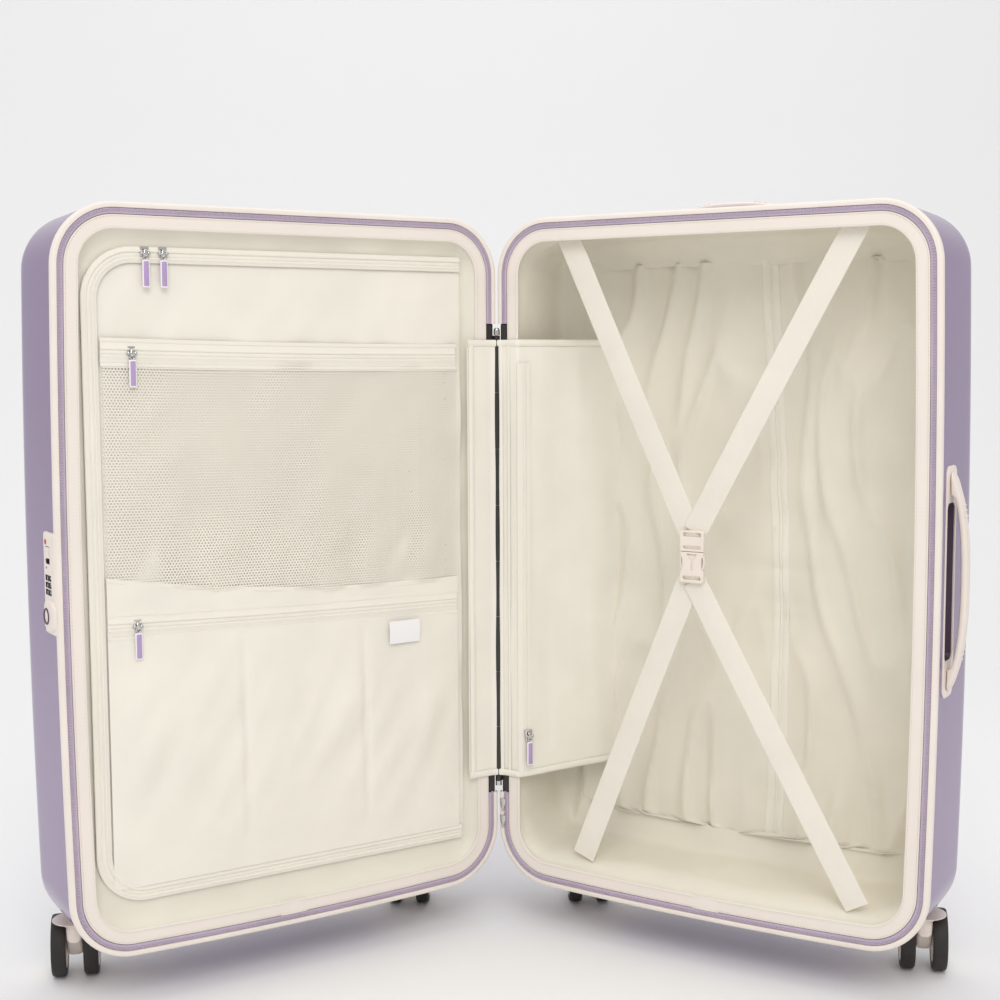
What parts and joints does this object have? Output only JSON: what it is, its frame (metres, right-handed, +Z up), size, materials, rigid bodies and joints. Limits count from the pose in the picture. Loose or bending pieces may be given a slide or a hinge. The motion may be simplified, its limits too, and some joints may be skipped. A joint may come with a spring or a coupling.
{
  "type": "hard shell suitcase on wheels",
  "caption": "Tall hard shell suitcase standing open like a book, with a zipped divider, crossed straps, pull handle, combination lock and twin-wheel casters.",
  "frame": {"origin": "on the floor, straight below the hinge line between the two halves", "axes": "+X from the hinge line to the back half's opening side, +Y into the back half's depth towards its broad face, +Z up"},
  "size_m": [0.7997, 0.5627, 0.7541],
  "materials": {
    "shell": "glossy lilac",
    "zip": "lilac zip chain",
    "bead": "satin cream",
    "lining": "thin woven polyester",
    "webbing": "woven webbing",
    "black_plastic": "satin black",
    "steel": "plated",
    "cream_plastic": "satin cream",
    "lilac_plastic": "satin lilac",
    "alloy": "anodised",
    "tyre": "matte black"
  },
  "bodies": {
    "back_half": {"back_shell": "shell", "back_bead": "bead", "back_zip": "zip", "back_lining": "lining", "back_hinge_rail": "black_plastic", "hinge_pin": "black_plastic", "back_flap": "lining", "hinge_side_straps": "webbing", "outer_side_straps": "webbing", "buckle_socket": "cream_plastic", "trolley_outer_tubes": "alloy", "trolley_housing": "cream_plastic", "handle_mounts": "cream_plastic", "back_side_feet": "cream_plastic", "back_caster_housings": "cream_plastic", "main_zip_sliders": "steel"},
    "front_half": {"front_shell": "shell", "front_bead": "bead", "front_zip": "zip", "front_lining": "lining", "front_hinge_rail": "black_plastic", "front_flap": "lining", "lock_case": "cream_plastic", "front_side_feet": "cream_plastic", "front_caster_housings": "cream_plastic"},
    "divider": {"divider_panel": "lining", "mesh_pocket": "lining", "zip_pocket": "lining"},
    "back_inner_caster": {"back_inner_fork": "cream_plastic"},
    "back_inner_wheels": {"back_inner_hubs": "cream_plastic", "back_inner_tyres": "tyre"},
    "back_outer_caster": {"back_outer_fork": "cream_plastic"},
    "back_outer_wheels": {"back_outer_hubs": "cream_plastic", "back_outer_tyres": "tyre"},
    "front_inner_caster": {"front_inner_fork": "cream_plastic"},
    "front_inner_wheels": {"front_inner_hubs": "cream_plastic", "front_inner_tyres": "tyre"},
    "front_outer_caster": {"front_outer_fork": "cream_plastic"},
    "front_outer_wheels": {"front_outer_hubs": "cream_plastic", "front_outer_tyres": "tyre"},
    "trolley_middle": {"trolley_middle_tubes": "alloy"},
    "trolley_top": {"trolley_inner_tubes": "alloy", "trolley_grip": "cream_plastic"},
    "trolley_button": {"trolley_button": "cream_plastic"},
    "top_handle": {"top_handle": "cream_plastic"},
    "side_handle": {"side_handle": "cream_plastic"},
    "lock_button": {"lock_button": "cream_plastic"},
    "key_cylinder": {"key_cylinder": "steel"},
    "dial_1": {"dial_1": "black_plastic"},
    "dial_2": {"dial_2": "black_plastic"},
    "dial_3": {"dial_3": "black_plastic"},
    "divider_slider": {"divider_slider": "steel"},
    "divider_puller": {"divider_puller": "lilac_plastic"},
    "mesh_slider": {"mesh_slider": "steel"},
    "mesh_puller": {"mesh_puller": "lilac_plastic"},
    "pocket_slider": {"pocket_slider": "steel"},
    "pocket_puller": {"pocket_puller": "lilac_plastic"},
    "flap_slider": {"flap_slider": "steel"},
    "flap_puller": {"flap_puller": "lilac_plastic"},
    "buckle_plug": {"buckle_plug": "cream_plastic"}
  },
  "joints": [
    {"name": "case_hinge", "type": "hinge", "parent": "back_half", "child": "front_half", "pos_m": [0, 0, 0.39], "axis": [0, 0, -1], "range_deg": [-116, 64]},
    {"name": "divider_swing", "type": "hinge", "parent": "front_half", "child": "divider", "pos_m": [-0.02966, -0.03115, 0.4], "axis": [0, 0, 1], "range_deg": [0, 90]},
    {"name": "back_inner_caster_swivel", "type": "hinge", "parent": "back_half", "child": "back_inner_caster", "pos_m": [0.06, 0.092, 0.06], "axis": [0, 0, 1], "continuous": true},
    {"name": "back_inner_wheels_spin", "type": "hinge", "parent": "back_inner_caster", "child": "back_inner_wheels", "pos_m": [0.0494, 0.10896, 0.03], "axis": [0.848, 0.5299, 0], "continuous": true},
    {"name": "back_outer_caster_swivel", "type": "hinge", "parent": "back_half", "child": "back_outer_caster", "pos_m": [0.43, 0.092, 0.06], "axis": [0, 0, 1], "continuous": true},
    {"name": "back_outer_wheels_spin", "type": "hinge", "parent": "back_outer_caster", "child": "back_outer_wheels", "pos_m": [0.42316, 0.11079, 0.03], "axis": [0.9397, 0.342, 0], "continuous": true},
    {"name": "front_inner_caster_swivel", "type": "hinge", "parent": "front_half", "child": "front_inner_caster", "pos_m": [-0.10899, -0.0136, 0.06], "axis": [0, 0, 1], "continuous": true},
    {"name": "front_inner_wheels_spin", "type": "hinge", "parent": "front_inner_caster", "child": "front_inner_wheels", "pos_m": [-0.11959, 0.00336, 0.03], "axis": [-0.848, -0.5299, 0], "continuous": true},
    {"name": "front_outer_caster_swivel", "type": "hinge", "parent": "front_half", "child": "front_outer_caster", "pos_m": [-0.27119, -0.34615, 0.06], "axis": [0, 0, 1], "continuous": true},
    {"name": "front_outer_wheels_spin", "type": "hinge", "parent": "front_outer_caster", "child": "front_outer_wheels", "pos_m": [-0.28508, -0.33176, 0.03], "axis": [-0.7193, -0.6947, 0], "continuous": true},
    {"name": "trolley_stage_1", "type": "slide", "parent": "back_half", "child": "trolley_middle", "axis": [0, 0, 1], "range_m": [0, 0.17]},
    {"name": "trolley_stage_2", "type": "slide", "parent": "trolley_middle", "child": "trolley_top", "axis": [0, 0, 1], "range_m": [0, 0.17]},
    {"name": "trolley_button_push", "type": "slide", "parent": "trolley_top", "child": "trolley_button", "axis": [0, 0, -1], "range_m": [0, 0.003], "stiffness_N_per_m": 400},
    {"name": "top_handle_pull", "type": "slide", "parent": "back_half", "child": "top_handle", "axis": [0, 0, 1], "range_m": [0, 0.006], "stiffness_N_per_m": 300},
    {"name": "side_handle_pull", "type": "slide", "parent": "back_half", "child": "side_handle", "axis": [1, 0, 0], "range_m": [0, 0.006], "stiffness_N_per_m": 300},
    {"name": "lock_button_slide", "type": "slide", "parent": "front_half", "child": "lock_button", "axis": [0, 0, -1], "range_m": [0, 0.004], "stiffness_N_per_m": 300},
    {"name": "key_turn", "type": "hinge", "parent": "front_half", "child": "key_cylinder", "pos_m": [-0.22124, -0.40389, 0.3725], "axis": [-0.4384, -0.8988, 0], "range_deg": [0, 90]},
    {"name": "dial_1_turn", "type": "hinge", "parent": "front_half", "child": "dial_1", "pos_m": [-0.2198, -0.40092, 0.407], "axis": [0, 0, 1], "continuous": true},
    {"name": "dial_2_turn", "type": "hinge", "parent": "front_half", "child": "dial_2", "pos_m": [-0.2198, -0.40092, 0.4005], "axis": [0, 0, 1], "continuous": true},
    {"name": "dial_3_turn", "type": "hinge", "parent": "front_half", "child": "dial_3", "pos_m": [-0.2198, -0.40092, 0.394], "axis": [0, 0, 1], "continuous": true},
    {"name": "divider_zip_slide", "type": "slide", "parent": "divider", "child": "divider_slider", "axis": [0.4384, 0.8988, 0], "range_m": [0, 0.28]},
    {"name": "divider_puller_swing", "type": "hinge", "parent": "divider_slider", "child": "divider_puller", "pos_m": [-0.15939, -0.31723, 0.698], "axis": [-0.4384, -0.8988, 0], "range_deg": [0, 150]},
    {"name": "mesh_zip_slide", "type": "slide", "parent": "divider", "child": "mesh_slider", "axis": [0.4384, 0.8988, 0], "range_m": [0, 0.31]},
    {"name": "mesh_puller_swing", "type": "hinge", "parent": "mesh_slider", "child": "mesh_puller", "pos_m": [-0.17289, -0.34625, 0.608], "axis": [-0.4384, -0.8988, 0], "range_deg": [0, 150]},
    {"name": "pocket_zip_slide", "type": "slide", "parent": "divider", "child": "pocket_slider", "axis": [0.4384, 0.8988, 0], "range_m": [0, 0.31]},
    {"name": "pocket_puller_swing", "type": "hinge", "parent": "pocket_slider", "child": "pocket_puller", "pos_m": [-0.17332, -0.34715, 0.358], "axis": [-0.4384, -0.8988, 0], "range_deg": [0, 150]},
    {"name": "flap_zip_slide", "type": "slide", "parent": "back_half", "child": "flap_slider", "axis": [0, 0, 1], "range_m": [0, 0.38]},
    {"name": "flap_puller_swing", "type": "hinge", "parent": "flap_slider", "child": "flap_puller", "pos_m": [0.03566, 0.00533, 0.206], "axis": [-0.521, -0.8536, 0], "range_deg": [0, 150]},
    {"name": "buckle_pull", "type": "slide", "parent": "back_half", "child": "buckle_plug", "axis": [1, 0, 0], "range_m": [0, 0.024]}
  ]
}
